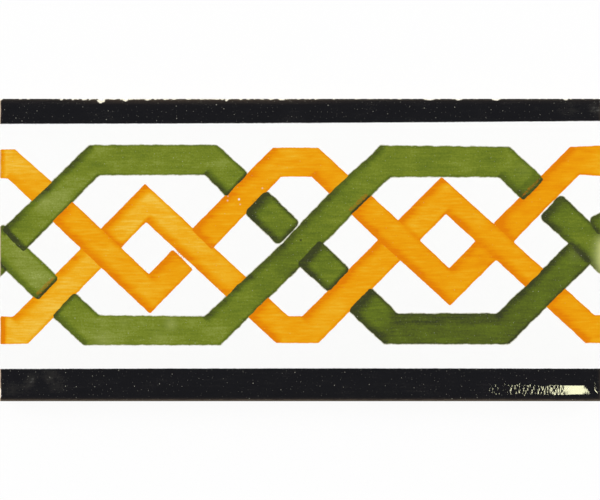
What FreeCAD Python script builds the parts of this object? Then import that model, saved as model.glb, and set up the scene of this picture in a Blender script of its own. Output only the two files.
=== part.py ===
import FreeCAD, Part
import math
import os

# Border tile: one dust-pressed and glazed ceramic slab, twice as long as it is wide.
# It lies on its back: the origin is at the middle of the back face, X runs along
# the border, Y across it, and Z points out of the glazed face.

# Slab, in millimetres
LENGTH = 152.4
WIDTH = 76.2
THICKNESS = 9.5
CORNER_RADIUS = 0.6

# Cushioned rim: the glazed face rolls down gently, then turns sharply over the arris
CUSHION_WIDTH = 4.5
CUSHION_ANGLE = 8.0
ARRIS_RADIUS = 0.7

# The die's draft, on the lower part of the four edges
DRAFT_HEIGHT = 3.0
DRAFT_INSET = 0.6

# Keyed back: shallow pockets that the bedding mortar grips, with ribs between them
KEY_MARGIN = 7.0
KEY_PITCH = 16.0
KEY_RIB = 3.0
KEY_DEPTH = 0.7
KEY_CORNER_RADIUS = 2.0
KEY_WALL_INSET = 0.5

# How far a section runs past the slab before the sections are intersected
OVERRUN = 5.0

PARTS_FOLDER = "parts"


def rounded_rectangle(length, width, radius, z):
    """Closed wire of a rectangle centred on the Z axis, with rounded corners."""
    inner_x = length / 2 - radius
    inner_y = width / 2 - radius
    diagonal = radius / math.sqrt(2)
    corners = [(1, 1), (-1, 1), (-1, -1), (1, -1)]
    arcs = []
    for turn, (side_x, side_y) in enumerate(corners):
        centre = FreeCAD.Vector(side_x * inner_x, side_y * inner_y, z)
        along_x = centre + FreeCAD.Vector(side_x * radius, 0, 0)
        along_y = centre + FreeCAD.Vector(0, side_y * radius, 0)
        middle = centre + FreeCAD.Vector(side_x * diagonal, side_y * diagonal, 0)
        start, end = (along_x, along_y) if turn % 2 == 0 else (along_y, along_x)
        arcs.append(Part.Arc(start, middle, end))
    edges = []
    for arc, following in zip(arcs, arcs[1:] + arcs[:1]):
        edges.append(arc.toShape())
        edges.append(Part.LineSegment(arc.EndPoint, following.StartPoint).toShape())
    return Part.Wire(edges)


def rim_half(half_span):
    """Edges of one side of the section, from the back up to the flat of the face.

    The cushion is an arc that leaves the face at a tangent, and the arris is an arc
    that carries it on, at a tangent again, into the upright edge.
    """
    slope = math.radians(CUSHION_ANGLE)
    cushion_run = CUSHION_WIDTH - ARRIS_RADIUS * (1 - math.sin(slope))
    cushion_radius = cushion_run / math.sin(slope)
    cushion_drop = cushion_radius * (1 - math.cos(slope))
    arris_u = half_span - ARRIS_RADIUS
    arris_z = THICKNESS - cushion_drop - ARRIS_RADIUS * math.cos(slope)
    face_u = half_span - CUSHION_WIDTH

    def on_arris(angle):
        return FreeCAD.Vector(
            arris_u + ARRIS_RADIUS * math.sin(angle), 0, arris_z + ARRIS_RADIUS * math.cos(angle)
        )

    def on_cushion(angle):
        return FreeCAD.Vector(
            face_u + cushion_radius * math.sin(angle), 0, THICKNESS - cushion_radius * (1 - math.cos(angle))
        )

    upright = math.pi / 2
    back = FreeCAD.Vector(half_span - DRAFT_INSET, 0, 0)
    draft_top = FreeCAD.Vector(half_span, 0, DRAFT_HEIGHT)
    return [
        Part.LineSegment(back, draft_top).toShape(),
        Part.LineSegment(draft_top, on_arris(upright)).toShape(),
        Part.Arc(on_arris(upright), on_arris((upright + slope) / 2), on_arris(slope)).toShape(),
        Part.Arc(on_cushion(slope), on_cushion(slope / 2), on_cushion(0)).toShape(),
    ]


def section_face(span):
    """The tile's section across one direction, as a face in the XZ plane."""
    right = rim_half(span / 2)
    mirror_plane = (FreeCAD.Vector(0, 0, 0), FreeCAD.Vector(1, 0, 0))
    left = [edge.mirror(*mirror_plane) for edge in right]
    face_half = span / 2 - CUSHION_WIDTH
    back_half = span / 2 - DRAFT_INSET
    face_line = Part.LineSegment(
        FreeCAD.Vector(face_half, 0, THICKNESS), FreeCAD.Vector(-face_half, 0, THICKNESS)
    )
    back_line = Part.LineSegment(FreeCAD.Vector(-back_half, 0, 0), FreeCAD.Vector(back_half, 0, 0))
    edges = right + left + [face_line.toShape(), back_line.toShape()]
    return Part.Face(Part.Wire(Part.__sortEdges__(edges)))


def section_bar(span, run):
    """A bar of the section, centred on the origin and lying along Y."""
    length = run + 2 * OVERRUN
    bar = section_face(span).extrude(FreeCAD.Vector(0, length, 0))
    bar.translate(FreeCAD.Vector(0, -length / 2, 0))
    return bar


def slab():
    """The slab: where the long section, the cross section and the plan all meet."""
    across_length = section_bar(LENGTH, WIDTH)
    across_width = section_bar(WIDTH, LENGTH)
    across_width.rotate(FreeCAD.Vector(0, 0, 0), FreeCAD.Vector(0, 0, 1), 90)
    plan = Part.Face(rounded_rectangle(LENGTH, WIDTH, CORNER_RADIUS, 0))
    plan_prism = plan.extrude(FreeCAD.Vector(0, 0, THICKNESS))
    return across_length.common(across_width).common(plan_prism)


def key_pocket(length, width):
    """A pocket of the back, centred on the Z axis, whose walls lean inwards."""
    mouth = rounded_rectangle(length, width, KEY_CORNER_RADIUS, 0)
    floor_length = length - 2 * KEY_WALL_INSET
    floor_width = width - 2 * KEY_WALL_INSET
    floor_radius = KEY_CORNER_RADIUS - KEY_WALL_INSET
    floor = rounded_rectangle(floor_length, floor_width, floor_radius, KEY_DEPTH)
    return Part.makeLoft([mouth, floor], True, True)


def key_layout(span):
    """How many pockets fit across a span of the back, and how long each one is."""
    keyed = span - 2 * KEY_MARGIN
    count = max(1, round((keyed + KEY_RIB) / KEY_PITCH))
    return count, (keyed - (count - 1) * KEY_RIB) / count


def key_pockets():
    """Every pocket of the back, in a grid that fills it up to the margin."""
    columns, length = key_layout(LENGTH)
    rows, width = key_layout(WIDTH)
    pocket = key_pocket(length, width)
    pockets = []
    for column in range(columns):
        for row in range(rows):
            x = (column - (columns - 1) / 2) * (length + KEY_RIB)
            y = (row - (rows - 1) / 2) * (width + KEY_RIB)
            pockets.append(pocket.translated(FreeCAD.Vector(x, y, 0)))
    return pockets


def border_tile():
    """The finished tile: the slab with its back keyed."""
    return slab().cut(key_pockets()).removeSplitter()


os.makedirs(PARTS_FOLDER, exist_ok=True)
tile = border_tile()
tile.exportStep(os.path.join(PARTS_FOLDER, "border_tile.step"))
print("border_tile:", len(tile.Solids), "solid, valid", tile.isValid(), "volume", round(tile.Volume, 1))
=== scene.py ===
import math

import bmesh
import bpy
import numpy as np
from mathutils import Matrix, Vector, noise


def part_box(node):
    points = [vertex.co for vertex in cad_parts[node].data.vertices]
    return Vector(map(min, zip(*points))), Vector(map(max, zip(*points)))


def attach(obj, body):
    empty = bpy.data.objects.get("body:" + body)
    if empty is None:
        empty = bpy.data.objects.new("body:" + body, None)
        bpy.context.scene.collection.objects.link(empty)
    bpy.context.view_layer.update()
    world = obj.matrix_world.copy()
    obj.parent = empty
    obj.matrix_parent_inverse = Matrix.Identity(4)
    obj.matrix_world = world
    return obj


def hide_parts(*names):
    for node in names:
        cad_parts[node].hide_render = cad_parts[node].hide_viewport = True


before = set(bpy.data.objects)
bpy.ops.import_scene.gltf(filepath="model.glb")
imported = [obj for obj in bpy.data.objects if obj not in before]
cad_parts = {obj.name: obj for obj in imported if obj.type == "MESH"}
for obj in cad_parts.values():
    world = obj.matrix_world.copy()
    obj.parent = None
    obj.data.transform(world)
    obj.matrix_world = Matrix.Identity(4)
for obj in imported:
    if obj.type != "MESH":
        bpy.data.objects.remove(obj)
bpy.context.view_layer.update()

# A border tile of hand-painted earthenware, lying on its back with the glazed face up.
# Sizes are in millimetres until the finished mesh is scaled to metres.
MM = 0.001
TILE_NODE = "border_tile"

# Slab, read from the frame
LOW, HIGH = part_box(TILE_NODE)
HALF_X = (HIGH.x - LOW.x) / 2 / MM
HALF_Y = (HIGH.y - LOW.y) / 2 / MM
THICKNESS = (HIGH.z - LOW.z) / MM
CORNER_RADIUS = 0.6

# Cushioned rim: the face rolls down gently, then turns over the arris into the upright edge
CUSHION_WIDTH = 4.5
CUSHION_SLOPE = math.radians(8.0)
ARRIS_RADIUS = 0.7
ARRIS_STEPS = 5
FACE_INSET = ARRIS_RADIUS * (1 - math.sin(CUSHION_SLOPE))
CUSHION_RADIUS = (CUSHION_WIDTH - FACE_INSET) / math.sin(CUSHION_SLOPE)
CUSHION_DROP = CUSHION_RADIUS * (1 - math.cos(CUSHION_SLOPE))
ARRIS_HEIGHT = THICKNESS - CUSHION_DROP - ARRIS_RADIUS * math.cos(CUSHION_SLOPE)
FACE_CELL = 0.4

# Upright edge and the die's draft below it
DRAFT_HEIGHT = 3.0
DRAFT_INSET = 0.6
UPRIGHT_STEPS = 7
DRAFT_STEPS = 3

# Finishes, in the order of the tile's material slots
PAINTED_GLAZE, BARE_CLAY, RUBBED_ARRIS = range(3)

# Keyed back
KEY_MARGIN = 7.0
KEY_PITCH = 16.0
KEY_RIB = 3.0
KEY_DEPTH = 0.7
KEY_CORNERS = {"offset": 2.0, "affect": "VERTICES", "segments": 4, "profile": 0.5, "material": -1}
KEY_WALL_INSET = 0.5

# Uneven surfaces: how far a surface wanders, and over what length
GLAZE_RIPPLE = 0.02
GLAZE_RIPPLE_LENGTH = 6.0
CLAY_RIPPLE = 0.06
CLAY_RIPPLE_LENGTH = 2.2
GLAZE_LIP = 0.12
GLAZE_LIP_HEIGHT = 6.4
GLAZE_LIP_WANDER = 1.6
GLAZE_LIP_LENGTH = 7.0
GLAZE_LIP_FADE = (-0.3, 0.5)
PAINT_FILM = 0.015
PAINT_FILM_EDGE = 1.2

# The noise's step from seed to seed, how much an upright surface's normal may point up, and from which
# angle on an edge is sharp
SEED_STEP = (17.3, 9.1, 4.7)
UPRIGHT = 0.7
SHARP_ANGLE = math.radians(35)

# The pattern is drawn a touch larger than it is painted
PATTERN_SCALE = 1.0031

# A crisp outer corner's radius, and colour gathered at an end: how strongly, how far in, where it ends
CRISP_CORNER = 0.25
NONE_GATHERED = (0.0, 0.5, 1.0)


def strap(line, corner=CRISP_CORNER, load=1.0, start=NONE_GATHERED, end=NONE_GATHERED):
    """A painted strap.

    Each point of its middle line gives x along the border and y across it, from the middle of the tile,
    the strap's width, or its width before and after a corner, and its tone: 0 is thin and pale, 1 thick
    and dark. Corner is the radius at the outer corners, load how much colour gathered along the sides,
    and start and end how it gathered at the two ends.
    """
    return {"line": line, "corner": corner, "load": load, "start": start, "end": end}


AMBER_UNDER = [
    strap([
        (-75.7, -20.25, 7.05, 0.12), (-70.55, -20.28, (6.75, 7.45), 0.16),
        (-54.75, -4.1, 7.1, 0.24), (-51.3, -0.65, 7.05, 0.28),
    ], load=0.7, start=(1.0, 0.8, 1.8)),
    strap([
        (-48.0, 2.7, 7.0, 0.30), (-39.0, 11.9, 6.9, 0.19),
        (-15.2, -10.15, 7.0, 0.40),
    ], load=0.9, start=(0.85, 0.3, 2.0), end=(0.5, 0.4, 2.3)),
    strap([
        (-10.95, -14.15, 7.15, 0.52), (-4.5, -20.1, (6.98, 6.8), 0.46),
        (2.65, -20.08, (6.8, 7.65), 0.46), (23.95, 1.4, 7.6, 0.50),
    ], start=(0.95, 0.5, 3.0)),
    strap([
        (27.3, 4.75, 7.5, 0.46), (36.28, 13.8, (7.38, 6.2), 0.43),
        (54.85, -3.1, 6.3, 0.52), (60.95, -8.7, 6.45, 0.50),
    ], start=(0.6, 0.3, 1.5)),
    strap([
        (64.05, -11.55, 6.6, 0.56), (73.25, -19.98, (6.7, 7.0), 0.51),
        (78.8, -19.95, 7.2, 0.46),
    ], start=(0.85, 0.4, 2.7)),
]
AMBER_OVER = [
    strap([
        (-75.9, 21.75, 7.3, 0.12), (-72.9, 21.75, (7.35, 6.7), 0.18),
        (-65.17, 14.77, 7.0, 0.40), (-63.6, 13.3, 7.05, 0.44),
    ], corner=0.4, load=0.5, start=(0.55, 0.7, 1.7)),
    strap([
        (-60.43, 10.12, 7.0, 0.52), (-57.06, 6.89, 7.1, 0.44),
        (-38.0, -11.12, 7.05, 0.39), (-29.59, -2.39, 7.2, 0.50),
    ], corner=0.5, start=(0.85, 0.5, 3.2), end=(0.6, 0.15, 1.0)),
    strap([
        (-24.85, 2.65, 7.2, 0.54), (-5.8, 22.18, (6.65, 7.33), 0.48),
        (3.78, 22.15, (7.35, 6.45), 0.49), (11.58, 14.88, 6.7, 0.50),
    ], corner=0.35, load=0.85, start=(0.95, 0.4, 2.5)),
    strap([
        (14.95, 11.85, 6.9, 0.56), (20.77, 6.37, 7.12, 0.52),
        (37.77, -9.35, 6.83, 0.54), (44.3, -2.8, 6.9, 0.58),
        (47.03, -0.03, 7.05, 0.80),
    ], corner=0.35, start=(0.8, 0.5, 3.2), end=(0.6, 0.15, 1.0)),
    strap([
        (51.34, 4.34, 6.9, 0.64), (60.31, 13.49, 6.62, 0.62),
        (69.4, 22.53, (6.7, 6.98), 0.60), (78.8, 22.5, 8.05, 0.52),
    ], corner=0.35, start=(0.95, 0.4, 2.4)),
]
GREEN_UNDER = [
    strap([
        (-77.8, 3.8, 7.7, 0.28), (-63.5, -10.05, 7.9, 0.24),
    ], corner=0.9, load=0.6, end=(1.0, 0.4, 1.3)),
    strap([
        (63.17, 11.18, 7.9, 0.57), (72.0, 3.0, 7.55, 0.54),
        (78.8, -3.5, 7.9, 0.42),
    ], corner=1.3, load=0.9, start=(0.75, 0.5, 3.5)),
    strap([
        (-59.85, -13.6, 8.25, 0.40), (-52.73, -20.25, (8.05, 7.4), 0.31),
        (-22.05, -20.4, (7.1, 7.9), 0.33), (-16.65, -15.19, 7.76, 0.39),
        (-13.54, -12.01, 7.89, 0.43), (-10.25, -9.01, 7.59, 0.47),
        (-2.05, -1.1, 7.37, 0.56), (9.47, 10.78, 7.84, 0.44),
        (13.53, 14.83, 7.85, 0.43), (18.80, 19.73, 7.33, 0.42),
        (21.6, 22.43, (7.38, 7.83), 0.41), (51.6, 22.2, (7.6, 7.25), 0.40),
        (59.12, 15.08, 7.68, 0.45),
    ], corner=0.7, load=0.66, start=(0.85, 0.25, 1.5), end=(0.9, 0.3, 1.5)),
]
GREEN_OVER = [
    strap([
        (-72.6, 2.3, 7.85, 0.38), (-61.65, 13.1, 7.34, 0.27),
        (-51.95, 22.7, (7.05, 7.5), 0.35), (-22.55, 22.78, (7.45, 7.4), 0.37),
        (-15.8, 16.36, 8.15, 0.38),
    ], corner=0.6, load=0.82, start=(1.0, 1.1, 1.8), end=(0.9, 0.25, 1.1)),
    strap([
        (-11.38, 12.38, 7.95, 0.49), (-2.7, 4.0, 7.95, 0.47),
    ], corner=1.2, start=(1.0, 0.6, 3.8), end=(0.9, 0.25, 1.4)),
    strap([
        (2.1, -0.5, 8.25, 0.52), (9.9, -7.8, 7.95, 0.47),
    ], corner=0.8, start=(1.0, 0.6, 3.5), end=(0.9, 0.25, 1.5)),
    strap([
        (14.95, -12.25, 8.1, 0.51), (22.95, -19.9, (7.9, 7.6), 0.71),
        (51.3, -19.9, (7.7, 7.6), 0.74), (61.9, -9.52, 7.45, 0.67),
        (71.1, -0.4, 7.55, 0.60),
    ], corner=0.9, start=(1.0, 0.7, 4.2), end=(0.95, 0.6, 1.7)),
    strap([
        (74.05, 5.6, 4.8, 0.64), (79.2, 8.7, 4.8, 0.50),
    ], corner=1.3, load=0.8, start=(0.7, 0.25, 1.5)),
    strap([
        (-80.2, -5.7, 7.6, 0.46), (-76.56, -2.14, 7.6, 0.50),
    ], corner=0.6, load=0.8, end=(0.9, 0.4, 1.2)),
]

# Amber that bled into the green: the middle line of each streak as x, y and width
AMBER_BLEED = [
    [(12.45, 9.85, 0.8), (16.95, 14.15, 0.8)],
    [(56.0, 13.5, 0.5), (60.6, 18.1, 0.5)],
    [(-66.35, -11.3, 0.75), (-62.1, -6.9, 0.75)],
]
BLEED_CORNER = 0.2

# How each colour settles: along the sides that face left, right and up or down, how strongly it
# gathers and how far in. Tone is what it gathers to, and bend the radius at the inner corners.
AMBER_BRUSH = {"tone": 1.05, "left": (0.95, 1.8), "right": (0.5, 0.6), "level": (0.4, 0.4), "bend": 0.3}
GREEN_BRUSH = {"tone": 1.0, "left": (0.95, 1.5), "right": (0.8, 0.6), "level": (0.4, 0.35), "bend": 1.4}
LAYERS = {
    "amber_under": (AMBER_UNDER, AMBER_BRUSH),
    "amber_over": (AMBER_OVER, AMBER_BRUSH),
    "green_under": (GREEN_UNDER, GREEN_BRUSH),
    "green_over": (GREEN_OVER, GREEN_BRUSH),
}
AMBER_LAYERS = ("amber_under", "amber_over")
GREEN_LAYERS = ("green_under", "green_over")

# A side counts as facing left or right from this slant on, and a line as straight from this agreement on
SLANT = 0.7
STRAIGHT = 0.97

# Where amber straps cross: the radius of the filled corners, and their tone
JOIN_RADIUS = 0.3
JOIN_TONE = 0.80

# Gathered colour: how fast it fades past a side's end, where in its reach it starts to fade and is gone,
# and how it wanders
BEYOND_END = 3.0
SOLID_SHARE = 0.25
FADED_SHARE = 1.6
POOL_WANDER = 0.30
POOL_WANDER_LENGTH = 7.0

# Green laid twice: the middle line of each second stroke, and how much darker it makes the strap
GREEN_STROKES = [
    ([(22.8, -17.3, 2.9), (50.5, -17.3, 2.9)], 0.15),
    ([(13.1, 9.1, 0.9), (17.6, 13.4, 0.9)], 0.55),
    ([(-77.2, 6.9, 1.5), (-74.0, 4.1, 1.5)], 0.45),
    ([(55.3, 14.0, 2.4), (59.9, 18.6, 2.4)], 0.16),
]
STROKE_EDGE = 0.35

# Thin places in the green, and grey on the black, which is bloom at the bottom left and a painted
# reflection at the top right: x, y, radius and strength
GREEN_UNDER_THIN = [
    (-49.8, -22.8, 2.2, 0.11), (-44.5, -18.2, 1.6, 0.05), (-32.6, -18.7, 1.5, 0.15),
    (-35.9, -22.0, 1.6, 0.05), (-70.7, -3.0, 2.4, 0.02), (56.4, 20.2, 1.8, 0.03),
    (77.4, 1.3, 2.2, 0.70), (77.5, -1.8, 2.4, 0.80), (77.7, -4.6, 2.2, 0.65),
]
GREEN_OVER_THIN = [(-61.1, 12.6, 2.6, 0.04), (-64.8, 12.3, 1.3, 0.08), (69.3, -1.5, 1.4, 0.04)]
# Grey on the black: smudged bloom at the bottom left, and a painted reflection at the top right
BLACK_BLOOM_AND_SHEEN = [
    (-63.0, -31.8, 2.0, 0.46), (-68.2, -33.4, 1.8, 0.48), (-61.5, -34.0, 2.4, 0.25),
    (-73.2, -36.0, 2.2, 0.30), (74.6, 35.4, 1.8, 0.60), (68.0, 35.6, 2.5, 0.25),
]

# Black bands along both long edges: the inner edge's height at the middle, its rise along X,
# and how much wider the white between the bands is at the tile's ends
TOP_BAND = (32.09, 0.0050, 0.145)
BOTTOM_BAND = (-29.92, 0.0005, 0.105)

# Chips in the upper arris: the place along X, and half the size along X and Y. One more is at the left
UPPER_CHIPS = [
    (-75.6, 0.8, 0.40), (-60.0, 0.35, 0.30), (-58.6, 0.30, 0.28),
    (-57.3, 0.4, 0.30), (-56.0, 0.30, 0.28), (-52.9, 0.50, 0.28),
    (-46.8, 0.50, 0.26), (-41.5, 0.40, 0.26), (-54.6, 0.8, 0.42),
    (-50.1, 0.98, 1.12), (-44.0, 0.75, 0.70), (-38.5, 0.6, 0.45),
    (-18.4, 0.6, 0.45), (-4.4, 0.7, 0.40), (32.8, 1.3, 0.40),
    (40.0, 0.9, 0.45), (49.4, 1.0, 0.50), (66.9, 0.6, 0.40),
]
CHIPS = [(x, HALF_Y, half_x, half_y) for x, half_x, half_y in UPPER_CHIPS]
CHIPS.append((-HALF_X, -36.0, 1.0, 1.6))

# How far a chip cuts into the arris and down, for its depth in the plan
CHIP_CUTS_IN = 0.5
CHIP_CUTS_DOWN = 0.7

# The nibbled stretch of the upper arris: where it starts and ends, and how deep it is
NIBBLED_FROM = -50.0
NIBBLED_TO = -8.0
NIBBLED_FADE = 26.0
NIBBLED_DEPTH = 0.15

# Black thinned to brown at the rim: how far in this begins and is full, and how thin it gets
END_RIM = (1.4, 0.2)
BOTTOM_RIM = (1.1, 0.3)
TOP_RIM = (1.7, 0.2)
THIN_AT_ENDS = 0.20
THIN_AT_BOTTOM = 0.20
THIN_AT_TOP = 0.07
THIN_WHERE_NIBBLED = 0.18

# White pinholes and dark flecks in the paint: x, y, radius and strength
PINHOLES = [
    (-18.3, 12.5, 0.20, 0.35), (-18.2, 13.6, 0.18, 0.25), (-15.4, 12.8, 0.24, 0.9),
    (-15.1, 11.5, 0.18, 0.3), (-9.5, 15.6, 0.20, 0.35),
]
DARK_FLECKS = [(0.2, 2.5, 0.28, 0.9), (-11.8, 12.3, 0.35, 0.20), (-11.1, 12.8, 0.30, 0.20)]

# Photograph's framing: the picture's width on the glazed face
PICTURE_WIDTH = 151.03
LENS = 200.0
SENSOR = 36.0


def linear(red, green, blue):
    """A colour written as it looks on a screen, from 0 to 255, as the shader's linear colour."""
    shares = [channel / 255 for channel in (red, green, blue)]
    return tuple(
        share / 12.92 if share <= 0.04045 else ((share + 0.055) / 1.055) ** 2.4 for share in shares
    ) + (1.0,)


# Shape of the tile


def new_mesh(name, bm):
    """A mesh made of the shapes drawn so far."""
    mesh = bpy.data.meshes.new(name)
    bm.to_mesh(mesh)
    bm.free()
    return mesh


def new_object(name, data):
    """An object placed in the scene."""
    made = bpy.data.objects.new(name, data)
    bpy.context.scene.collection.objects.link(made)
    return made


def rim_sections():
    """Inset and height of each loop from the arris down to the back."""
    sections = []
    for step in range(1, ARRIS_STEPS + 1):
        angle = CUSHION_SLOPE + (math.pi / 2 - CUSHION_SLOPE) * step / ARRIS_STEPS
        inset = ARRIS_RADIUS * (1 - math.sin(angle))
        sections.append((inset, ARRIS_HEIGHT + ARRIS_RADIUS * math.cos(angle)))
    for step in range(1, UPRIGHT_STEPS + 1):
        sections.append((0.0, ARRIS_HEIGHT + (DRAFT_HEIGHT - ARRIS_HEIGHT) * step / UPRIGHT_STEPS))
    for step in range(1, DRAFT_STEPS + 1):
        share = step / DRAFT_STEPS
        sections.append((DRAFT_INSET * share, DRAFT_HEIGHT * (1 - share)))
    return sections


def stepped_out(place, inset_before, inset, height):
    """A point of one loop, moved to the rounded outline of the next loop."""
    moved = []
    out = []
    for along, half in ((place.x, HALF_X), (place.y, HALF_Y)):
        straight_before = half - inset_before - CORNER_RADIUS
        straight = half - inset - CORNER_RADIUS
        core = max(-straight_before, min(straight_before, along))
        moved.append(core * straight / straight_before)
        out.append(along - core)
    edge = Vector(moved) + Vector(out).normalized() * CORNER_RADIUS
    return Vector((edge.x, edge.y, height))


def glazed_face(bm):
    """The face as a fine grid, out to where the arris begins."""
    half_x = HALF_X - FACE_INSET
    half_y = HALF_Y - FACE_INSET
    bmesh.ops.create_grid(
        bm,
        x_segments=round(2 * half_x / FACE_CELL),
        y_segments=round(2 * half_y / FACE_CELL),
        size=1.0,
        matrix=Matrix.Diagonal((half_x, half_y, 1.0, 1.0)),
    )
    for vert in bm.verts:
        inset = min(HALF_X - abs(vert.co.x), HALF_Y - abs(vert.co.y))
        run = max(0.0, CUSHION_WIDTH - inset)
        vert.co.z = THICKNESS - CUSHION_RADIUS + math.sqrt(CUSHION_RADIUS**2 - run**2)


def edges_and_draft(bm):
    """The arris, the upright edges and the draft, extruded loop by loop from the face's border."""
    loop = [edge for edge in bm.edges if edge.is_boundary]
    inset_before = FACE_INSET
    for inset, height in rim_sections():
        made = bmesh.ops.extrude_edge_only(bm, edges=loop)["geom"]
        loop = [item for item in made if isinstance(item, bmesh.types.BMEdge) and item.is_boundary]
        for vert in {vert for edge in loop for vert in edge.verts}:
            vert.co = stepped_out(vert.co, inset_before, inset, height)
        inset_before = inset


def key_layout(half_span):
    """How many pockets fit across the back, and how long each one is."""
    keyed = 2 * (half_span - KEY_MARGIN)
    count = max(1, round((keyed + KEY_RIB) / KEY_PITCH))
    return count, (keyed - (count - 1) * KEY_RIB) / count


def keyed_back(bm):
    """The back: pockets for the mortar to grip, and the ribs between them."""
    columns, length = key_layout(HALF_X)
    rows, width = key_layout(HALF_Y)
    mouths = []
    for column in range(columns):
        for row in range(rows):
            x = (column - (columns - 1) / 2) * (length + KEY_RIB)
            y = (row - (rows - 1) / 2) * (width + KEY_RIB)
            place = Matrix.Translation((x, y, 0.0)) @ Matrix.Diagonal((length, width, 1.0, 1.0))
            made = bmesh.ops.create_grid(bm, x_segments=1, y_segments=1, size=0.5, matrix=place)
            rounded = bmesh.ops.bevel(bm, geom=made["verts"], **KEY_CORNERS)
            mouths.append(rounded["verts"][0].link_faces[0])
    bmesh.ops.inset_individual(bm, faces=mouths, thickness=KEY_WALL_INSET, depth=KEY_DEPTH)
    rims = [edge for edge in bm.edges if edge.is_boundary]
    bmesh.ops.triangle_fill(bm, edges=rims, use_beauty=True)


# Paint, as fields over the face


def strap_edges(line, shrink=0.0):
    """Start and end of each edge round a strap with mitred corners, drawn in by the shrink."""
    points = np.array([point[:2] for point in line])
    halves = np.array([np.broadcast_to(point[2], 2) for point in line]) / 2 - shrink
    steps = np.diff(points, axis=0)
    steps /= np.linalg.norm(steps, axis=1)[:, None]
    points[0] += steps[0] * shrink
    points[-1] -= steps[-1] * shrink
    sides = np.stack([-steps[:, 1], steps[:, 0]], axis=1)
    before = np.vstack([sides[:1], sides])
    after = np.vstack([sides, sides[-1:]])
    agree = np.sum(before * after, axis=1)
    bent = agree < STRAIGHT
    spread = np.where(bent, 1 - agree**2, 2.0)
    agree = np.where(bent, agree, 0.0)
    share_before = (halves[:, 0] - agree * halves[:, 1]) / spread
    share_after = (halves[:, 1] - agree * halves[:, 0]) / spread
    reach = before * share_before[:, None] + after * share_after[:, None]
    outline = np.vstack([points + reach, (points - reach)[::-1]])
    return zip(outline, np.roll(outline, -1, axis=0))


def beside_edge(plan, start, end):
    """How far each point is from an edge, and how far along the edge it lies."""
    along = end - start
    offset = plan - start
    share = np.clip(offset @ along / (along @ along), 0.0, 1.0)
    return np.linalg.norm(offset - share[:, None] * along, axis=1), share


def inside_strap(plan, line, shrink=0.0):
    """How far inside a strap, drawn in by the shrink, each point lies: negative outside it."""
    nearest = np.full(len(plan), np.inf)
    inside = np.zeros(len(plan), bool)
    for start, end in strap_edges(line, shrink):
        nearest = np.minimum(nearest, beside_edge(plan, start, end)[0])
        spans = (start[1] > plan[:, 1]) != (end[1] > plan[:, 1])
        rise = end[1] - start[1] if end[1] != start[1] else 1.0
        reach = start[0] + (plan[:, 1] - start[1]) * (end[0] - start[0]) / rise
        inside ^= spans & (plan[:, 0] < reach)
    return np.where(inside, nearest, -nearest)


def smooth_step(values, start, end):
    """0 before the start, 1 after the end and smooth between."""
    share = np.clip((values - start) / (end - start), 0.0, 1.0)
    return share * share * (3 - 2 * share)


def own_tone(plan, line):
    """The tone of a strap's middle line at the place nearest to each point."""
    nearest = np.full(len(plan), np.inf)
    tone = np.zeros(len(plan))
    for start, end in zip(line, line[1:]):
        gap, share = beside_edge(plan, np.array(start[:2]), np.array(end[:2]))
        closer = gap < nearest
        nearest = np.where(closer, gap, nearest)
        tone = np.where(closer, start[3] + (end[3] - start[3]) * share, tone)
    return tone


def gathered(plan, stretch, brush):
    """How much colour gathered at each point along a strap's edges and ends, from 0 to 1."""
    turn = len(stretch["line"])
    ends = {turn - 1: stretch["end"], 2 * turn - 1: stretch["start"]}
    clear = np.ones(len(plan))
    for index, (start, end) in enumerate(strap_edges(stretch["line"])):
        length = np.linalg.norm(end - start)
        along = (end - start) / length
        if index in ends:
            strength, solid, faded = ends[index]
        else:
            facing = max(-1.0, min(1.0, along[1] / SLANT))
            side = np.array(brush["left"] if facing > 0 else brush["right"])
            strength, reach = side * abs(facing) + np.array(brush["level"]) * (1 - abs(facing))
            strength *= stretch["load"]
            solid, faded = SOLID_SHARE * reach, FADED_SHARE * reach
        offset = plan - start
        run = offset @ along
        beyond = np.maximum(np.maximum(-run, run - length), 0.0)
        gap = np.hypot(offset @ (-along[1], along[0]), BEYOND_END * beyond)
        clear *= 1 - strength * (1 - smooth_step(gap, solid, faded))
    return 1 - clear


def strap_depth(plan, line, corner, bend):
    """How far inside a strap each point lies, with its outer and inner corners rounded."""
    sharp = inside_strap(plan, line)
    outer = inside_strap(plan, line, corner) + corner
    inner = inside_strap(plan, line, -bend) - bend
    return outer + inner - sharp


def paint_layer(plan, straps, brush, unevenness):
    """How far inside the nearest strap of a layer each point lies, and its tone there."""
    depth = np.full(len(plan), -np.inf)
    tone = np.zeros(len(plan))
    for stretch in straps:
        inside = strap_depth(plan, stretch["line"], stretch["corner"], brush["bend"])
        nearer = inside > depth
        depth = np.where(nearer, inside, depth)
        base = own_tone(plan, stretch["line"])
        edge = np.clip(gathered(plan, stretch, brush) * unevenness, 0.0, 1.0)
        tone = np.where(nearer, base + (brush["tone"] - base) * edge, tone)
    return depth, tone


def joined(first, second):
    """Two layers' depths as one, with the corners where they cross filled a little."""
    share = np.clip(0.5 + 0.5 * (first - second) / JOIN_RADIUS, 0.0, 1.0)
    return second + (first - second) * share + JOIN_RADIUS * share * (1 - share)


def bleed_layer(plan):
    """How far inside the nearest streak of bled amber each point lies."""
    streaks = [inside_strap(plan, line, BLEED_CORNER) for line in AMBER_BLEED]
    return np.max(streaks, axis=0) + BLEED_CORNER


def clouds(plan, places):
    """Soft round spots, added up."""
    total = np.zeros(len(plan))
    for x, y, radius, strength in places:
        away = np.linalg.norm(plan - (x, y), axis=1) / radius
        total += strength * np.exp(-(away**2))
    return total


def second_strokes(plan):
    """How much darker the green is where it was laid twice."""
    darker = np.zeros(len(plan))
    for line, strength in GREEN_STROKES:
        darker += strength * smooth_step(inside_strap(plan, line), -STROKE_EDGE, STROKE_EDGE)
    return darker


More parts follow.
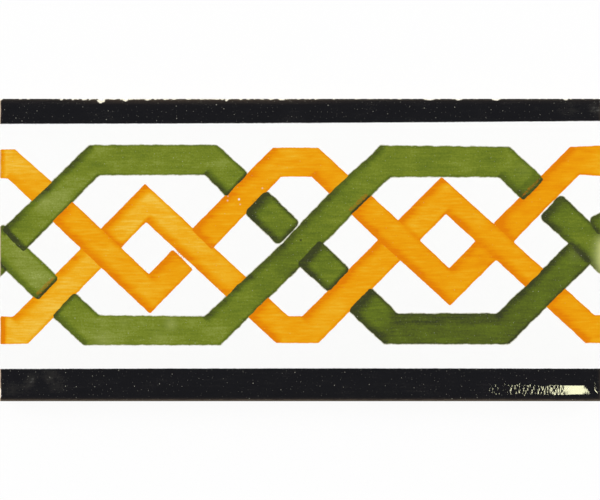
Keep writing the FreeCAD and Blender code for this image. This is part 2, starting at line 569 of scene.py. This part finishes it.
def black_band(plan):
    """How far inside the nearer black band each point lies."""
    along, across = plan.T
    bands = []
    for side, (edge, rise, bow) in ((1, TOP_BAND), (-1, BOTTOM_BAND)):
        bands.append(side * (across - edge - rise * along) - bow * (along / HALF_X) ** 2)
    return np.maximum(*bands)


def chip_depth(plan):
    """How far inside a chip of the arris each point lies."""
    depth = np.full(len(plan), -1.0)
    for x, y, half_x, half_y in CHIPS:
        away = np.hypot((plan[:, 0] - x) / half_x, (plan[:, 1] - y) / half_y)
        depth = np.maximum(depth, (1 - away) * min(half_x, half_y))
    return depth


def nibbled_stretch(plan):
    """Where along the tile its upper arris is nibbled, from 0 to 1."""
    starts = smooth_step(plan[:, 0], NIBBLED_FROM - NIBBLED_FADE / 2, NIBBLED_FROM)
    ends = smooth_step(plan[:, 0], NIBBLED_TO + NIBBLED_FADE, NIBBLED_TO)
    return starts * ends


def nibbled_depth(plan):
    """How far inside the nibbled stretch of the upper arris each point lies."""
    return NIBBLED_DEPTH * nibbled_stretch(plan) - (HALF_Y - plan[:, 1])


def thinned_rim(plan):
    """How much the black thinned as it ran off the rim."""
    ends = THIN_AT_ENDS * smooth_step(HALF_X - np.abs(plan[:, 0]), *END_RIM)
    bottom = THIN_AT_BOTTOM * smooth_step(HALF_Y + plan[:, 1], *BOTTOM_RIM)
    top = THIN_AT_TOP + THIN_WHERE_NIBBLED * nibbled_stretch(plan)
    top *= smooth_step(HALF_Y - plan[:, 1], *TOP_RIM)
    return np.maximum(np.maximum(ends, bottom), top)


def ripple(places, length, seed):
    """Smooth uneven values from -1 to 1, over about that length."""
    shift = Vector([seed * step for step in SEED_STEP])
    return np.array([noise.noise(Vector(place) / length + shift) for place in places])


def paint_fields(places):
    """Every painted layer as named values over the tile's points."""
    outline = places[:, :2]
    plan = outline * PATTERN_SCALE
    unevenness = 1 + POOL_WANDER * ripple(places, POOL_WANDER_LENGTH, seed=11)
    fields = {}
    for name, (straps, brush) in LAYERS.items():
        fields[name], fields[name + "_tone"] = paint_layer(plan, straps, brush, unevenness)
    for name, thin in zip(GREEN_LAYERS, (GREEN_UNDER_THIN, GREEN_OVER_THIN)):
        fields[name + "_tone"] += second_strokes(plan)
        fields[name + "_thin"] = clouds(plan, thin)
    fields["amber_join"] = joined(fields["amber_under"], fields["amber_over"])
    fields["amber_join_tone"] = np.full(len(plan), JOIN_TONE)
    fields["amber_bleed"] = bleed_layer(plan)
    fields["black_band"] = black_band(plan)
    # Grey bloom on the black, with a painted reflection at the top right
    fields["black_bloom_and_sheen"] = clouds(plan, BLACK_BLOOM_AND_SHEEN)
    fields["chip"] = chip_depth(outline)
    fields["nibbled"] = nibbled_depth(outline)
    fields["thinned"] = thinned_rim(outline)
    return fields


def wear_and_ripple(places, normals, fields):
    """The points of the tile, moved by the glaze's ripple, the paint's film and the pressed clay."""
    film = np.zeros(len(places))
    for name in (*LAYERS, "black_band"):
        film = np.maximum(film, smooth_step(fields[name], 0.0, PAINT_FILM_EDGE))
    glazed = smooth_step(places[:, 2], ARRIS_HEIGHT, ARRIS_HEIGHT + ARRIS_RADIUS)
    inset = np.minimum(HALF_X - np.abs(places[:, 0]), HALF_Y - np.abs(places[:, 1]))
    glazed *= smooth_step(inset, CUSHION_WIDTH, 3 * CUSHION_WIDTH)
    lip = GLAZE_LIP_HEIGHT + GLAZE_LIP_WANDER * ripple(places * (1, 1, 0), GLAZE_LIP_LENGTH, seed=3)
    bare = smooth_step(lip - places[:, 2], *GLAZE_LIP_FADE) * (np.abs(normals[:, 2]) < UPRIGHT)
    clay = CLAY_RIPPLE * ripple(places, CLAY_RIPPLE_LENGTH, seed=5)
    glaze = GLAZE_RIPPLE * ripple(places, GLAZE_RIPPLE_LENGTH, seed=7)
    moved = places.copy()
    moved[:, 2] += glazed * (PAINT_FILM * (film - 1) + glaze - GLAZE_RIPPLE)
    moved += normals * (bare * (np.minimum(clay, 0.0) - GLAZE_LIP))[:, None]
    chip = np.clip(fields["chip"], 0.0, None) * (places[:, 2] > ARRIS_HEIGHT - ARRIS_RADIUS)
    moved[:, :2] *= 1 - CHIP_CUTS_IN * chip[:, None] / (HALF_X, HALF_Y)
    moved[:, 2] -= CHIP_CUTS_DOWN * chip
    moved[:, 2] = np.maximum(moved[:, 2], 0.0)
    return moved


def finish_of(centre):
    """Which finish a face has: the glaze, the bare clay or the rubbed arris."""
    if centre.z < DRAFT_HEIGHT:
        return BARE_CLAY
    inset = min(HALF_X - abs(centre.x), HALF_Y - abs(centre.y))
    return RUBBED_ARRIS if inset < FACE_INSET and centre.z > ARRIS_HEIGHT else PAINTED_GLAZE


def vertex_rows(mesh, kind):
    """Every vertex's place or normal, one to a row."""
    values = np.zeros(len(mesh.vertices) * 3, np.float32)
    mesh.vertices.foreach_get(kind, values)
    return values.reshape(-1, 3).astype(float)


def painted_tile():
    """The whole tile: face, rim and keyed back in one closed mesh, with the paint's fields on it."""
    bm = bmesh.new()
    glazed_face(bm)
    edges_and_draft(bm)
    keyed_back(bm)
    bmesh.ops.recalc_face_normals(bm, faces=bm.faces)
    for face in bm.faces:
        face.smooth = True
        face.material_index = finish_of(face.calc_center_median())
    mesh = new_mesh("painted_tile", bm)

    places = vertex_rows(mesh, "co")
    fields = paint_fields(places)
    moved = wear_and_ripple(places, vertex_rows(mesh, "normal"), fields)
    mesh.vertices.foreach_set("co", (moved * MM).astype(np.float32).ravel())
    for name, values in fields.items():
        attribute = mesh.attributes.new(name, "FLOAT", "POINT")
        attribute.data.foreach_set("value", values.astype(np.float32))
    mesh.set_sharp_from_angle(angle=SHARP_ANGLE)
    mesh.update()
    return new_object("painted_tile", mesh)


# Shader helpers

# Kinds of a group's sockets that are not plain values
SOCKET_KINDS = {"Place": "NodeSocketVector", "Color": "NodeSocketColor"}


def feed(tree, socket, value):
    """Links a socket to a socket, or writes a plain value on it."""
    if isinstance(value, bpy.types.NodeSocket):
        tree.links.new(value, socket)
    else:
        socket.default_value = value


def add(tree, kind, sockets=None, **settings):
    """A new node with its settings made and its sockets fed."""
    node = tree.nodes.new("ShaderNode" + kind)
    for name, value in settings.items():
        setattr(node, name, value)
    for name, value in (sockets or {}).items():
        feed(tree, node.inputs[name], value)
    return node


def maths(tree, operation, *values):
    """One Math node's result."""
    return add(tree, "Math", dict(enumerate(values)), operation=operation).outputs[0]


def product(tree, first, second):
    """Two values multiplied."""
    return maths(tree, "MULTIPLY", first, second)


def scaled(tree, value, share, plus):
    """A share of a value, added to another value."""
    return maths(tree, "MULTIPLY_ADD", value, share, plus)


def blend(tree, share, under, over):
    """One colour laid over another."""
    return add(tree, "Mix", {0: share, 6: under, 7: over}, data_type="RGBA").outputs[2]


def field(tree, name):
    """A named value that the tile's mesh carries."""
    return add(tree, "Attribute", attribute_name=name).outputs["Fac"]


def smooth_range(tree, sockets):
    """A value taken smoothly from one range to another."""
    return add(tree, "MapRange", sockets, interpolation_type="SMOOTHSTEP").outputs["Result"]


def soft_mask(tree, value, start, end):
    """0 below the start, 1 above the end and smooth between."""
    return smooth_range(tree, {"Value": value, "From Min": start, "From Max": end})


def uneven(tree, place, scale, detail, stretch=None, turn=0.0):
    """Noise from -1 to 1, drawn out along X where a stretch is given."""
    if stretch is not None:
        sockets = {"Vector": place, "Rotation": (0.0, 0.0, turn), "Scale": (1 / stretch, 1.0, 1.0)}
        place = add(tree, "Mapping", sockets).outputs["Vector"]
    cloud = add(tree, "TexNoise", {"Vector": place, "Scale": scale, "Detail": detail})
    return scaled(tree, cloud.outputs["Fac"], 2.0, -1.0)


def colour_steps(tree, value, steps):
    """A colour ramp through the given places and screen colours."""
    ramp = add(tree, "ValToRGB", {"Fac": value})
    points = ramp.color_ramp.elements
    while len(points) < len(steps):
        points.new(0.5)
    for point, (place, colour) in zip(points, steps):
        point.position = place
        point.color = linear(*colour)
    return ramp.outputs["Color"]


def new_group(name, inputs, outputs):
    """An empty shader node group with named sockets, its inputs and its outputs."""
    group = bpy.data.node_groups.new(name, "ShaderNodeTree")
    for in_out, labels in (("INPUT", inputs), ("OUTPUT", outputs)):
        for label in labels:
            kind = SOCKET_KINDS.get(label, "NodeSocketFloat")
            group.interface.new_socket(name=label, in_out=in_out, socket_type=kind)
    return group, group.nodes.new("NodeGroupInput").outputs, group.nodes.new("NodeGroupOutput").inputs


def place_group(tree, group, **sockets):
    """Outputs of a group placed in a material or in another group, with its own values."""
    return add(tree, "Group", sockets, node_tree=group).outputs


def new_material(name):
    """A material, its nodes, its shader's sockets and the tile's coordinates in millimetres."""
    material = bpy.data.materials.new(name)
    material.use_nodes = True
    tree = material.node_tree
    shader = tree.nodes["Principled BSDF"].inputs
    coordinates = add(tree, "TexCoord").outputs["Object"]
    place = add(tree, "VectorMath", {0: coordinates, "Scale": 1 / MM}, operation="SCALE")
    return material, tree, shader, place.outputs[0]


# Looks

# Screen colours of each paint, from its thinnest to its thickest
AMBER_STEPS = [
    (0.0, (243, 195, 72)), (0.25, (239, 176, 35)), (0.5, (237, 161, 13)),
    (0.75, (234, 149, 7)), (1.0, (228, 129, 5)),
]
GREEN_STEPS = [
    (0.0, (168, 179, 106)), (0.12, (142, 154, 72)), (0.34, (118, 132, 40)),
    (0.56, (98, 114, 34)), (0.78, (81, 92, 33)), (1.0, (60, 65, 36)),
]
BLACK_STEPS = [(0.0, (20, 20, 23)), (0.5, (25, 25, 28)), (0.8, (42, 41, 40)), (1.0, (90, 90, 88))]
CLAY_STEPS = [(0.0, (176, 152, 118)), (0.5, (214, 196, 164)), (1.0, (231, 218, 192))]
WHITE_GLAZE = linear(252, 252, 251)
SPECK_COLOUR = linear(205, 203, 185)
FLECK_COLOUR = linear(60, 64, 36)
FRINGE_COLOUR = linear(160, 156, 84)
CREAM_CHIP = linear(240, 234, 212)
RUBBED_BUFF = linear(205, 186, 156)
BLEED_COLOUR = linear(170, 104, 24)
PALE_WASH = linear(226, 231, 154)
THIN_BLACK = linear(96, 82, 68)

# Gloss: how much the glaze and the rubbed arris mirror, and how rough each surface is
GLAZE_SHINE = 0.5
ARRIS_SHINE = 0.06
GLAZE_ROUGHNESS = 0.025
WORN_ROUGHNESS = 0.9
CLAY_ROUGHNESS = 0.8

# Noises: how fine each one is and how much detail it has, and for some how far it is drawn out along X
# and how that is turned
HAIRS = (2.0, 2.0, 9.0, math.radians(-6.0))
STROKES = (0.7, 1.0, 6.0, math.radians(-8.0))
PATCHES = (0.22, 2.0, 1.6)
GRAIN = (2.6, 2.0)
CLAY_BLOTCHES = (0.09, 3.0)
CLAY_SAND = (2.4, 4.0)
SLOW_WANDER = (0.42, 2.0)
QUICK_WANDER = (1.9, 2.0)
RAGGED = (0.9, 3.0)
LIP_WANDER = (0.14, 2.0)
COMBED = (0.95, 0.8, 0.5)
PEEL = (0.6, 0.0, 3.0)

# How much the streaks, the patches and the grain change each paint's tone
STROKE_SHARE = 0.5
AMBER_TEXTURE = (0.40, 0.24, 0.12)
GREEN_TEXTURE = (0.18, 0.22, 0.20)
BLACK_TEXTURE = (0.18, 0.18, 0.20)
BLACK_TONE = 0.45

# Edges of the paint: how far the quick and the slow wander move them
NEAT_EDGE = (0.06, 0.16)
LOOSE_EDGE = (0.10, 0.30)
BAND_EDGE = (0.07, 0.05)
GREEN_HELD_BACK = 0.12

# Where across its edge a paint begins and is full
PAINT_RIM = (-0.12, 0.06)
AMBER_RIM = (-0.07, 0.08)
FRINGE_RIM = (-0.30, -0.12)
CHIP_RIM = (-0.05, 0.10)

# How strong the fringe, the bled amber and the thinned black are, and where the wander breaks them
FRINGE_SHARE = 0.5
BLEED_SHARE = 0.75
BLEED_BREAKS = (-0.5, 0.5)
# The wander also breaks the grey bloom and the painted reflection on the black
BLOOM_AND_SHEEN_BREAKS = (-0.7, 0.5)
THINNED_UNEVENNESS = 0.6

# Specks: how close together they are, how large, and the share of places that have one
DUST = {"Density": 0.8, "Size": 0.11, "Share": 0.6}
PITS = {"Density": 0.30, "Size": 0.17, "Share": 0.7}
SMALLEST_SPECK = 0.5
FAINTEST_SPECK = 0.2
SPECK_CORE = 0.4
SPOT_EDGE = 0.12

# How strongly the specks show in each paint
DUST_SHOWN = {"green": 0.38, "black": 0.25}
PITS_SHOWN = {"any": 0.25, "green": 0.2, "black": 0.3}

# Rubbed edges of the face: the axis across each and how far out on which side it lies, the width that is
# rubbed, and how much of the body shows through
RUBBED_EDGES = [
    ("X", HALF_X, -1, 0.83, 0.80),
    ("X", HALF_X, 1, 0.60, 0.05),
    ("Y", HALF_Y, -1, 0.42, 0.12),
    ("Y", HALF_Y, 1, 0.40, 0.03),
]
RUBBED_FADE = 0.10
RAGGED_REACH = 0.55
RAGGED_IN_CHIPS = 0.9

# Heights from the arris and from the glaze's lip between which the paint and the glaze run out
PAINT_RUN_OUT = (-0.45, -0.15)
PAINT_RUN_WANDER = 0.5
GLAZE_RUN_OUT = (-0.3, 0.1)

# Clay: its middle tone, what blotches and sand add to it, and how its sand stands out
CLAY_TONE = 0.5
CLAY_BLOTCH_SHARE = 0.35
CLAY_SAND_SHARE = 0.2
CLAY_SAND_HEIGHT = 0.06
CLAY_SAND_STRENGTH = 0.5

# Fine ripple of the glaze, which breaks a reflection into flecks: its height, and where along X its
# combing starts, calms down and settles, and where the broader peel ends
FINE_RIPPLE = 0.0112
COMBING_STARTS = (45.0, 49.0)
COMBING_CALMS = (55.0, 62.0)
COMBING_SETTLES = (63.5, 67.0)
CALMED_BY = 0.45
SETTLED_BY = 0.97
PEEL_ENDS = (72.5, 71.0)
PEEL_SHARE = 0.4

# Shared effects


def brushwork_group():
    """Brush streaks along the border, slow changes in how thick the colour lies, and fine grain."""
    group, given, put_out = new_group("Brushwork", ["Place"], ["Streaks", "Patches", "Grain"])
    place = given["Place"]
    strokes = uneven(group, place, *STROKES)
    streaks = scaled(group, strokes, STROKE_SHARE, uneven(group, place, *HAIRS))
    feed(group, put_out["Streaks"], streaks)
    feed(group, put_out["Patches"], uneven(group, place, *PATCHES))
    feed(group, put_out["Grain"], uneven(group, place, *GRAIN))
    return group


def specks_group():
    """Small light specks: pinholes and grit, one here and there, of uneven size."""
    group, given, put_out = new_group("Specks", ["Place", "Density", "Size", "Share"], ["Mask"])
    sockets = {"Vector": given["Place"], "Scale": given["Density"]}
    cells = add(group, "TexVoronoi", sockets, voronoi_dimensions="2D").outputs
    draw = add(group, "SeparateColor", {0: cells["Color"]}).outputs
    kept = maths(group, "LESS_THAN", draw[0], given["Share"])
    largest = product(group, given["Size"], given["Density"])
    size = scaled(group, draw[1], 1 - SMALLEST_SPECK, SMALLEST_SPECK)
    radius = product(group, size, largest)
    reach = maths(group, "DIVIDE", cells["Distance"], radius)
    spot = soft_mask(group, reach, 1.0, SPECK_CORE)
    strength = scaled(group, draw[2], 1 - FAINTEST_SPECK, FAINTEST_SPECK)
    mask = product(group, product(group, spot, kept), strength)
    feed(group, put_out["Mask"], mask)
    return group


def clay_group():
    """Pressed buff clay: mottled colour and a fine sandy height."""
    group, given, put_out = new_group("Buff clay", ["Place"], ["Color", "Height"])
    place = given["Place"]
    sand = uneven(group, place, *CLAY_SAND)
    tone = scaled(group, sand, CLAY_SAND_SHARE, CLAY_TONE)
    tone = scaled(group, uneven(group, place, *CLAY_BLOTCHES), CLAY_BLOTCH_SHARE, tone)
    feed(group, put_out["Color"], colour_steps(group, tone, CLAY_STEPS))
    feed(group, put_out["Height"], sand)
    return group


# Painted glaze, as one effect that the face and the arris share


def frayed(tree, slow, quick, edge):
    """How far an edge of the paint wanders."""
    quick_share, slow_share = edge
    return scaled(tree, quick, quick_share, product(tree, slow, slow_share))


def laid(tree, layer, fray, rim=PAINT_RIM):
    """Where a layer of paint lies, with its edge frayed."""
    return soft_mask(tree, maths(tree, "ADD", field(tree, layer), fray), *rim)


def toned(tree, brush, tone, texture):
    """A tone with the brush's streaks, its patches and the grain in it."""
    for effect, share in zip(("Streaks", "Patches", "Grain"), texture):
        tone = scaled(tree, brush[effect], share, tone)
    return tone


def strongest(tree, masks):
    """The highest of several masks."""
    highest = masks[0]
    for mask in masks[1:]:
        highest = maths(tree, "MAXIMUM", highest, mask)
    return highest


def strapwork(tree, brush, slow, quick):
    """Amber straps, green straps over them and amber bled into the green, on white glaze."""
    neat = frayed(tree, slow, quick, NEAT_EDGE)
    loose = frayed(tree, slow, quick, LOOSE_EDGE)
    colour = WHITE_GLAZE
    ambers = []
    for layer in ("amber_join",) + AMBER_LAYERS:
        tone = toned(tree, brush, field(tree, layer + "_tone"), AMBER_TEXTURE)
        ambers.append(laid(tree, layer, neat, AMBER_RIM))
        colour = blend(tree, ambers[-1], colour, colour_steps(tree, tone, AMBER_STEPS))
    amber = strongest(tree, ambers)

    fringe = strongest(tree, [laid(tree, layer, loose, FRINGE_RIM) for layer in GREEN_LAYERS])
    off_amber = scaled(tree, amber, -FRINGE_SHARE, FRINGE_SHARE)
    colour = blend(tree, product(tree, fringe, off_amber), colour, FRINGE_COLOUR)

    over_amber = scaled(tree, amber, -GREEN_HELD_BACK, loose)
    greens = []
    for layer in GREEN_LAYERS:
        tone = toned(tree, brush, field(tree, layer + "_tone"), GREEN_TEXTURE)
        wash = colour_steps(tree, tone, GREEN_STEPS)
        wash = blend(tree, field(tree, layer + "_thin"), wash, PALE_WASH)
        greens.append(laid(tree, layer, over_amber))
        colour = blend(tree, greens[-1], colour, wash)

    broken = soft_mask(tree, quick, *BLEED_BREAKS)
    bleed = product(tree, laid(tree, "amber_bleed", loose), broken)
    colour = blend(tree, product(tree, bleed, BLEED_SHARE), colour, BLEED_COLOUR)
    return colour, amber, strongest(tree, greens)


def black_bands(tree, brush, slow, quick, colour):
    """Black laid along both long edges, with grey bloom and a painted reflection on it, and thinned to
    brown at the rim.
    """
    black = laid(tree, "black_band", frayed(tree, slow, quick, BAND_EDGE))
    # Grey on the black: bloom, and near the top right a painted reflection
    bloom_and_sheen = product(tree, field(tree, "black_bloom_and_sheen"), soft_mask(tree, slow, *BLOOM_AND_SHEEN_BREAKS))
    tone = toned(tree, brush, maths(tree, "ADD", bloom_and_sheen, BLACK_TONE), BLACK_TEXTURE)
    colour = blend(tree, black, colour, colour_steps(tree, tone, BLACK_STEPS))
    here_and_there = scaled(tree, quick, THINNED_UNEVENNESS, 1.0)
    thinned = product(tree, field(tree, "thinned"), here_and_there)
    return blend(tree, product(tree, thinned, black), colour, THIN_BLACK), black


def spots(tree, place, places):
    """A few round spots at their own places on the face."""
    masks = []
    for x, y, radius, strength in places:
        centre = (x / PATTERN_SCALE, y / PATTERN_SCALE, THICKNESS)
        away = add(tree, "VectorMath", {0: place, 1: centre}, operation="DISTANCE")
        spot = soft_mask(tree, away.outputs["Value"], radius + SPOT_EDGE, radius - SPOT_EDGE)
        masks.append(product(tree, spot, strength))
    return strongest(tree, masks)


def specked(tree, place, specks, paints, colour):
    """Dust, pits, pinholes and dark flecks in the paint."""
    speck = 0.0
    for kind, shares in ((DUST, DUST_SHOWN), (PITS, PITS_SHOWN)):
        shown = 0.0
        for paint, share in shares.items():
            shown = scaled(tree, paints[paint], share, shown)
        mask = place_group(tree, specks, Place=place, **kind)["Mask"]
        speck = scaled(tree, mask, shown, speck)
    colour = blend(tree, speck, colour, SPECK_COLOUR)
    colour = blend(tree, spots(tree, place, PINHOLES), colour, WHITE_GLAZE)
    return blend(tree, spots(tree, place, DARK_FLECKS), colour, FLECK_COLOUR)


def rubbed_arris(tree, axes, fray):
    """Where the arris is rubbed, and how much of the buff body shows through the colour there."""
    zones = []
    shown = []
    for axis, half, side, width, share in RUBBED_EDGES:
        inset = maths(tree, "ADD", scaled(tree, axes[axis], -side, half), fray)
        zones.append(soft_mask(tree, inset, width + RUBBED_FADE, width - RUBBED_FADE))
        shown.append(product(tree, zones[-1], share))
    return strongest(tree, zones), strongest(tree, shown)


def worn(tree, place, axes, fray, paint, colour):
    """Paint rubbed to the buff body and chipped to cream at the arris, and how worn each place is."""
    zone, shown = rubbed_arris(tree, axes, fray)
    colour = blend(tree, product(tree, shown, paint), colour, RUBBED_BUFF)
    ragged = product(tree, uneven(tree, place, *RAGGED), RAGGED_REACH)
    nibbled = maths(tree, "ADD", field(tree, "nibbled"), ragged)
    chipped = scaled(tree, ragged, RAGGED_IN_CHIPS, field(tree, "chip"))
    chip = soft_mask(tree, maths(tree, "MAXIMUM", nibbled, chipped), *CHIP_RIM)
    wear = maths(tree, "MAXIMUM", product(tree, zone, paint), chip)
    return blend(tree, chip, colour, CREAM_CHIP), wear


def run_out(tree, place, height, slow, clay, colour):
    """Paint that ends below the arris, glaze that ends on the edges, and where the glaze lies."""
    wandering = scaled(tree, slow, PAINT_RUN_WANDER, height)
    face = soft_mask(tree, wandering, *[ARRIS_HEIGHT + step for step in PAINT_RUN_OUT])
    colour = blend(tree, face, WHITE_GLAZE, colour)
    lip = scaled(tree, uneven(tree, place, *LIP_WANDER), GLAZE_LIP_WANDER, height)
    glazed = soft_mask(tree, lip, *[GLAZE_LIP_HEIGHT + step for step in GLAZE_RUN_OUT])
    body = place_group(tree, clay, Place=place)
    return blend(tree, glazed, body["Color"], colour), glazed


def fine_ripple(tree, place, along):
    """Height of the glaze's fine ripple: combed towards the right end, and settled at the end itself."""
    combing = soft_mask(tree, along, *COMBING_STARTS)
    for steps, share in ((COMBING_CALMS, CALMED_BY), (COMBING_SETTLES, SETTLED_BY)):
        left = scaled(tree, soft_mask(tree, along, *steps), -share, 1.0)
        combing = product(tree, combing, left)
    combed = product(tree, uneven(tree, place, *COMBED), combing)
    peel = product(tree, uneven(tree, place, *PEEL), soft_mask(tree, along, *PEEL_ENDS))
    return scaled(tree, peel, PEEL_SHARE, combed)


def glaze_group(brushwork, specks, clay):
    """White glaze with amber and green strapwork and black bands, worn through at the arris."""
    group, given, put_out = new_group("Painted glaze", ["Place"], ["Color", "Roughness", "Height"])
    place = given["Place"]
    axes = add(group, "SeparateXYZ", {0: place}).outputs
    brush = place_group(group, brushwork, Place=place)
    slow = uneven(group, place, *SLOW_WANDER)
    quick = uneven(group, place, *QUICK_WANDER)

    colour, amber, green = strapwork(group, brush, slow, quick)
    colour, black = black_bands(group, brush, slow, quick, colour)
    paint = strongest(group, [amber, green, black])
    colour = specked(group, place, specks, {"any": paint, "green": green, "black": black}, colour)
    colour, wear = worn(group, place, axes, frayed(group, slow, quick, NEAT_EDGE), paint, colour)
    colour, glazed = run_out(group, place, axes["Z"], slow, clay, colour)

    smoother = scaled(group, wear, WORN_ROUGHNESS, GLAZE_ROUGHNESS - CLAY_ROUGHNESS)
    feed(group, put_out["Color"], colour)
    feed(group, put_out["Roughness"], scaled(group, glazed, smoother, CLAY_ROUGHNESS))
    feed(group, put_out["Height"], fine_ripple(group, place, axes["X"]))
    return group


# Finishes


def raised(tree, shader, height, strength, distance):
    """Lets a height, in millimetres, stand out of a material's surface."""
    sockets = {"Height": height, "Strength": strength, "Distance": distance * MM}
    feed(tree, shader["Normal"], add(tree, "Bump", sockets).outputs["Normal"])


def painted_glaze(name, glaze, shine):
    """The painted glaze, as glossy as its place on the tile leaves it."""
    material, tree, shader, place = new_material(name)
    feed(tree, shader["Specular IOR Level"], shine)
    surface = place_group(tree, glaze, Place=place)
    feed(tree, shader["Base Color"], surface["Color"])
    feed(tree, shader["Roughness"], surface["Roughness"])
    raised(tree, shader, surface["Height"], 1.0, FINE_RIPPLE)
    return material


def bare_clay(clay):
    """The unglazed back and draft."""
    material, tree, shader, place = new_material("bare_clay")
    surface = place_group(tree, clay, Place=place)
    feed(tree, shader["Base Color"], surface["Color"])
    feed(tree, shader["Roughness"], CLAY_ROUGHNESS)
    raised(tree, shader, surface["Height"], CLAY_SAND_STRENGTH, CLAY_SAND_HEIGHT)
    return material


# Stage

# Floor, in metres, just under the tile: it glows white where it is seen. Sky: bright low down, dark above
FLOOR_HALF = 3.0
FLOOR_GAP = 0.00002
FLOOR_GREY = (0.9, 0.9, 0.9, 1.0)
FLOOR_GLOW_SHARE = 0.92
PURE_WHITE = (1.0, 1.0, 1.0, 1.0)
SKY_STEPS = {"From Min": 0.35, "From Max": 0.9, "To Min": 1.0, "To Max": 0.04}

# Softboxes on both sides
SOFTBOXES = {"softbox_left": (-0.75, 0.25, 0.7), "softbox_right": (0.75, 0.25, 0.7)}
SOFTBOX_SIZE = (0.6, 0.6)
SOFTBOX_POWER = 5.34
SOFTBOX_COLOUR = (0.995, 0.995, 1.01)

# Narrow lamps that glint in the cushioned rim: x, y, length along X, length along Y, turn and brightness
GLINT_COLOUR = (1.0, 0.985, 0.64)
GLINT_HEIGHT = 0.6
GLINTS = {
    "glint_strip": (0.1190, -0.1300, 0.0108, 0.1000, 0.0, 25.0),
    "glint_spark": (0.2480, -0.0643, 0.0320, 0.0024, -8.5, 70.0),
}


def studio_floor():
    """A plain pale floor that keeps the tile's shadow."""
    bm = bmesh.new()
    bmesh.ops.create_grid(bm, x_segments=1, y_segments=1, size=FLOOR_HALF)
    mesh = new_mesh("studio_floor", bm)
    floor = new_object("studio_floor", mesh)
    floor.location.z = -FLOOR_GAP
    material = bpy.data.materials.new("pale_floor")
    material.use_nodes = True
    tree = material.node_tree
    tree.nodes.clear()
    matt = add(tree, "BsdfDiffuse", {"Color": FLOOR_GREY})
    glow = add(tree, "Emission", {"Color": PURE_WHITE})
    rays = add(tree, "LightPath")
    seen = maths(tree, "MAXIMUM", rays.outputs["Is Camera Ray"], rays.outputs["Is Glossy Ray"])
    share = product(tree, seen, FLOOR_GLOW_SHARE)
    mixed = add(tree, "MixShader", {0: share, 1: matt.outputs[0], 2: glow.outputs[0]})
    add(tree, "OutputMaterial", {"Surface": mixed.outputs[0]})
    mesh.materials.append(material)


def studio_sky():
    """White round the horizon and dark overhead, so that the flat glaze mirrors nothing bright."""
    world = bpy.data.worlds.new("studio_sky")
    bpy.context.scene.world = world
    world.use_nodes = True
    tree = world.node_tree
    direction = add(tree, "TexCoord").outputs["Generated"]
    up = add(tree, "SeparateXYZ", {0: direction}).outputs["Z"]
    sky = tree.nodes["Background"].inputs
    feed(tree, sky["Strength"], smooth_range(tree, {"Value": up, **SKY_STEPS}))
    feed(tree, sky["Color"], PURE_WHITE)


def lamp(name, place, size, power, colour):
    """A soft rectangular lamp that faces straight down."""
    light = bpy.data.lights.new(name, "AREA")
    light.shape = "RECTANGLE"
    light.size, light.size_y = size
    light.energy = power
    light.color = colour
    holder = new_object(name, light)
    holder.location = place
    return holder


def lights():
    """Softboxes turned to the tile, and the narrow lamps that glint in its cushioned rim."""
    for name, place in SOFTBOXES.items():
        softbox = lamp(name, place, SOFTBOX_SIZE, SOFTBOX_POWER, SOFTBOX_COLOUR)
        softbox.rotation_euler = (-softbox.location).to_track_quat("-Z", "Y").to_euler()
    for name, (x, y, length, width, turn, brightness) in GLINTS.items():
        power = brightness * math.pi * length * width
        glint = lamp(name, (x, y, GLINT_HEIGHT), (length, width), power, GLINT_COLOUR)
        glint.rotation_euler.z = math.radians(turn)


def camera():
    """Straight above the tile, as far away as the lens needs for the picture's width."""
    data = bpy.data.cameras.new("camera")
    data.lens = LENS
    data.sensor_width = SENSOR
    holder = new_object("camera", data)
    distance = PICTURE_WIDTH * LENS / SENSOR
    holder.location.z = (THICKNESS + distance) * MM
    bpy.context.scene.camera = holder


bpy.context.scene.view_settings.view_transform = "Standard"
camera()
lights()
studio_sky()
studio_floor()

clay = clay_group()
glaze = glaze_group(brushwork_group(), specks_group(), clay)
tile = painted_tile()
tile.data.materials.append(painted_glaze("painted_glaze", glaze, GLAZE_SHINE))
tile.data.materials.append(bare_clay(clay))
tile.data.materials.append(painted_glaze("rubbed_arris", glaze, ARRIS_SHINE))
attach(tile, "root")
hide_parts(TILE_NODE)

bpy.context.view_layer.update()
